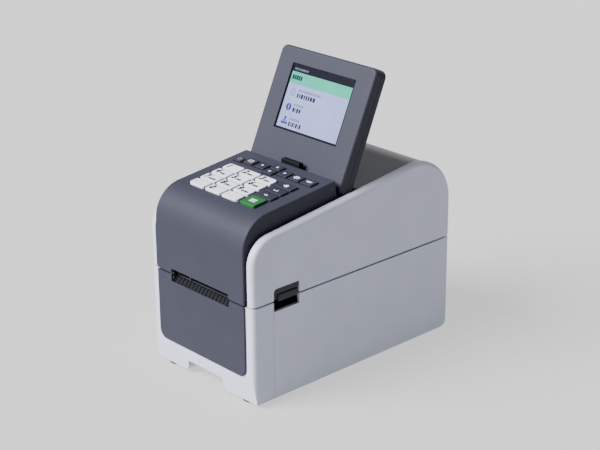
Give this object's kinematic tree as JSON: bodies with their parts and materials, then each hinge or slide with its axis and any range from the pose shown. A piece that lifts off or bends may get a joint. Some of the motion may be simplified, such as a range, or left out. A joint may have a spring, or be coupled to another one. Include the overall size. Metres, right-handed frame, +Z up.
{
  "type": "desktop label printer",
  "caption": "Desktop thermal label printer with a hinged cover, side latches, a numeric keypad deck and a tilting display, feeding labels from a front slot.",
  "frame": {"origin": "on the standing surface, under the middle of the printer's overall width and depth", "axes": "+X to the printer's right seen from the front panel's side, +Y to the back, +Z up; the front panel faces -Y"},
  "size_m": [0.1244, 0.2208, 0.244],
  "materials": {
    "light_plastic": "fine moulded grain",
    "dark_plastic": "fine moulded grain",
    "dark_gloss_plastic": "semi-gloss",
    "black_plastic": "matte",
    "latch_plastic": "satin",
    "tear_bar_metal": "stamped",
    "foot_rubber": "matte",
    "roller_rubber": "ground",
    "screw_steel": "plated",
    "circuit_board": "solder mask",
    "socket_steel": "plated",
    "plated_steel": "zinc plated",
    "white_acetal": "moulded",
    "motor_brass": "machined",
    "motor_steel": "satin",
    "shaft_steel": "ground",
    "guide_plastic": "moulded",
    "head_aluminium": "machined",
    "spring_steel": "drawn wire",
    "screen_glass": "gloss",
    "white_key": "satin",
    "dark_key": "satin",
    "green_key": "satin"
  },
  "bodies": {
    "base": {"base_case": "light_plastic", "front_bezel": "light_plastic", "lower_front_panel": "dark_plastic", "exit_guide": "black_plastic", "tear_bar": "tear_bar_metal", "rubber_feet": "foot_rubber", "media_bay": "black_plastic", "case_screws": "screw_steel", "main_board": "circuit_board", "rear_sockets": "socket_steel", "power_inlet": "black_plastic", "roller_frame": "plated_steel", "roller_bushes": "white_acetal", "stepper_motor": "motor_steel", "hinge_pins": "shaft_steel"},
    "platen": {"platen_roller": "roller_rubber", "platen_shaft": "shaft_steel", "platen_gear": "white_acetal"},
    "idler": {"idler_gear": "white_acetal"},
    "motor_rotor": {"motor_pinion": "motor_brass"},
    "left_guide": {"guide_left": "guide_plastic"},
    "right_guide": {"guide_right": "guide_plastic"},
    "guide_drive": {"guide_pinion": "white_acetal"},
    "cover": {"cover_shell": "light_plastic", "top_housing": "dark_plastic", "rear_top_panel": "dark_gloss_plastic", "print_head": "head_aluminium", "head_springs": "spring_steel", "keypad_board": "circuit_board", "display_knuckle": "black_plastic"},
    "right_latch": {"latch_right": "latch_plastic"},
    "left_latch": {"latch_left": "latch_plastic"},
    "display": {"display_bezel": "dark_plastic", "display_back": "dark_plastic", "lcd_panel": "screen_glass", "display_pin": "shaft_steel"},
    "button_1": {"key_1": "white_key"},
    "button_2": {"key_2": "white_key"},
    "button_3": {"key_3": "white_key"},
    "button_4": {"key_4": "white_key"},
    "button_5": {"key_5": "white_key"},
    "button_6": {"key_6": "white_key"},
    "button_7": {"key_7": "white_key"},
    "button_8": {"key_8": "white_key"},
    "button_9": {"key_9": "white_key"},
    "button_dash": {"key_dash": "white_key"},
    "button_0": {"key_0": "white_key"},
    "button_dot": {"key_dot": "white_key"},
    "button_select": {"key_select": "dark_key"},
    "button_ok": {"key_ok": "dark_key"},
    "button_back": {"key_back": "dark_key"},
    "button_print": {"key_print": "green_key"},
    "button_power": {"key_power": "dark_key"},
    "button_menu": {"key_menu": "dark_key"},
    "button_left": {"key_left": "dark_key"},
    "button_up": {"key_up": "dark_key"},
    "button_down": {"key_down": "dark_key"},
    "button_right": {"key_right": "dark_key"},
    "button_link": {"key_link": "dark_key"},
    "button_feed": {"key_feed": "dark_key"}
  },
  "joints": [
    {"name": "platen_spin", "type": "hinge", "parent": "base", "child": "platen", "pos_m": [0, -0.095, 0.081], "axis": [1, 0, 0], "continuous": true},
    {"name": "idler_spin", "type": "hinge", "parent": "base", "child": "idler", "pos_m": [0, -0.08884, 0.06409], "axis": [1, 0, 0], "continuous": true},
    {"name": "motor_spin", "type": "hinge", "parent": "base", "child": "motor_rotor", "pos_m": [0, -0.08247, 0.05304], "axis": [1, 0, 0], "continuous": true},
    {"name": "right_guide_slide", "type": "slide", "parent": "base", "child": "right_guide", "axis": [-1, 0, 0], "range_m": [0, 0.018]},
    {"name": "left_guide_slide", "type": "slide", "parent": "base", "child": "left_guide", "axis": [1, 0, 0], "range_m": [0, 0.018]},
    {"name": "guide_pinion_turn", "type": "hinge", "parent": "base", "child": "guide_drive", "pos_m": [0, 0.032, 0.0115], "axis": [0, 0, 1], "range_deg": [0, 172]},
    {"name": "cover_hinge", "type": "hinge", "parent": "base", "child": "cover", "pos_m": [0, 0.1059, 0.0921], "axis": [-1, 0, 0], "range_deg": [0, 80]},
    {"name": "display_tilt", "type": "hinge", "parent": "cover", "child": "display", "pos_m": [0, -0.0025, 0.1552], "axis": [-1, 0, 0], "range_deg": [-15, 47]},
    {"name": "right_latch_pull", "type": "hinge", "parent": "cover", "child": "right_latch", "pos_m": [0.0573, -0.0745, 0.0933], "axis": [0, -1, 0], "range_deg": [0, 5], "stiffness_Nm_per_rad": 0.05},
    {"name": "left_latch_pull", "type": "hinge", "parent": "cover", "child": "left_latch", "pos_m": [-0.0573, -0.0745, 0.0933], "axis": [0, 1, 0], "range_deg": [0, 5], "stiffness_Nm_per_rad": 0.05},
    {"name": "press_1", "type": "slide", "parent": "cover", "child": "button_1", "axis": [0, 0.1115, -0.9938], "range_m": [0, 0.0012], "stiffness_N_per_m": 500},
    {"name": "press_2", "type": "slide", "parent": "cover", "child": "button_2", "axis": [0, 0.1115, -0.9938], "range_m": [0, 0.0012], "stiffness_N_per_m": 500},
    {"name": "press_3", "type": "slide", "parent": "cover", "child": "button_3", "axis": [0, 0.1115, -0.9938], "range_m": [0, 0.0012], "stiffness_N_per_m": 500},
    {"name": "press_4", "type": "slide", "parent": "cover", "child": "button_4", "axis": [0, 0.1115, -0.9938], "range_m": [0, 0.0012], "stiffness_N_per_m": 500},
    {"name": "press_5", "type": "slide", "parent": "cover", "child": "button_5", "axis": [0, 0.1115, -0.9938], "range_m": [0, 0.0012], "stiffness_N_per_m": 500},
    {"name": "press_6", "type": "slide", "parent": "cover", "child": "button_6", "axis": [0, 0.1115, -0.9938], "range_m": [0, 0.0012], "stiffness_N_per_m": 500},
    {"name": "press_7", "type": "slide", "parent": "cover", "child": "button_7", "axis": [0, 0.1115, -0.9938], "range_m": [0, 0.0012], "stiffness_N_per_m": 500},
    {"name": "press_8", "type": "slide", "parent": "cover", "child": "button_8", "axis": [0, 0.1115, -0.9938], "range_m": [0, 0.0012], "stiffness_N_per_m": 500},
    {"name": "press_9", "type": "slide", "parent": "cover", "child": "button_9", "axis": [0, 0.1115, -0.9938], "range_m": [0, 0.0012], "stiffness_N_per_m": 500},
    {"name": "press_dash", "type": "slide", "parent": "cover", "child": "button_dash", "axis": [0, 0.1115, -0.9938], "range_m": [0, 0.0012], "stiffness_N_per_m": 500},
    {"name": "press_0", "type": "slide", "parent": "cover", "child": "button_0", "axis": [0, 0.1115, -0.9938], "range_m": [0, 0.0012], "stiffness_N_per_m": 500},
    {"name": "press_dot", "type": "slide", "parent": "cover", "child": "button_dot", "axis": [0, 0.1115, -0.9938], "range_m": [0, 0.0012], "stiffness_N_per_m": 500},
    {"name": "press_select", "type": "slide", "parent": "cover", "child": "button_select", "axis": [0, 0.1115, -0.9938], "range_m": [0, 0.0012], "stiffness_N_per_m": 500},
    {"name": "press_ok", "type": "slide", "parent": "cover", "child": "button_ok", "axis": [0, 0.1115, -0.9938], "range_m": [0, 0.0012], "stiffness_N_per_m": 500},
    {"name": "press_back", "type": "slide", "parent": "cover", "child": "button_back", "axis": [0, 0.1115, -0.9938], "range_m": [0, 0.0012], "stiffness_N_per_m": 500},
    {"name": "press_print", "type": "slide", "parent": "cover", "child": "button_print", "axis": [0, 0.1115, -0.9938], "range_m": [0, 0.0012], "stiffness_N_per_m": 500},
    {"name": "press_power", "type": "slide", "parent": "cover", "child": "button_power", "axis": [0, 0.1115, -0.9938], "range_m": [0, 0.0012], "stiffness_N_per_m": 500},
    {"name": "press_menu", "type": "slide", "parent": "cover", "child": "button_menu", "axis": [0, 0.1115, -0.9938], "range_m": [0, 0.0012], "stiffness_N_per_m": 500},
    {"name": "press_left", "type": "slide", "parent": "cover", "child": "button_left", "axis": [0, 0.1115, -0.9938], "range_m": [0, 0.0012], "stiffness_N_per_m": 500},
    {"name": "press_up", "type": "slide", "parent": "cover", "child": "button_up", "axis": [0, 0.1115, -0.9938], "range_m": [0, 0.0012], "stiffness_N_per_m": 500},
    {"name": "press_down", "type": "slide", "parent": "cover", "child": "button_down", "axis": [0, 0.1115, -0.9938], "range_m": [0, 0.0012], "stiffness_N_per_m": 500},
    {"name": "press_right", "type": "slide", "parent": "cover", "child": "button_right", "axis": [0, 0.1115, -0.9938], "range_m": [0, 0.0012], "stiffness_N_per_m": 500},
    {"name": "press_link", "type": "slide", "parent": "cover", "child": "button_link", "axis": [0, 0.1115, -0.9938], "range_m": [0, 0.0012], "stiffness_N_per_m": 500},
    {"name": "press_feed", "type": "slide", "parent": "cover", "child": "button_feed", "axis": [0, 0.1115, -0.9938], "range_m": [0, 0.0012], "stiffness_N_per_m": 500}
  ],
  "couplings": [
    {"joint": "idler_spin", "follows": "platen_spin", "ratio": -1},
    {"joint": "motor_spin", "follows": "platen_spin", "ratio": 2.4},
    {"joint": "left_guide_slide", "follows": "right_guide_slide", "ratio": 1},
    {"joint": "guide_pinion_turn", "follows": "right_guide_slide", "rad_per_m": 166.67}
  ]
}
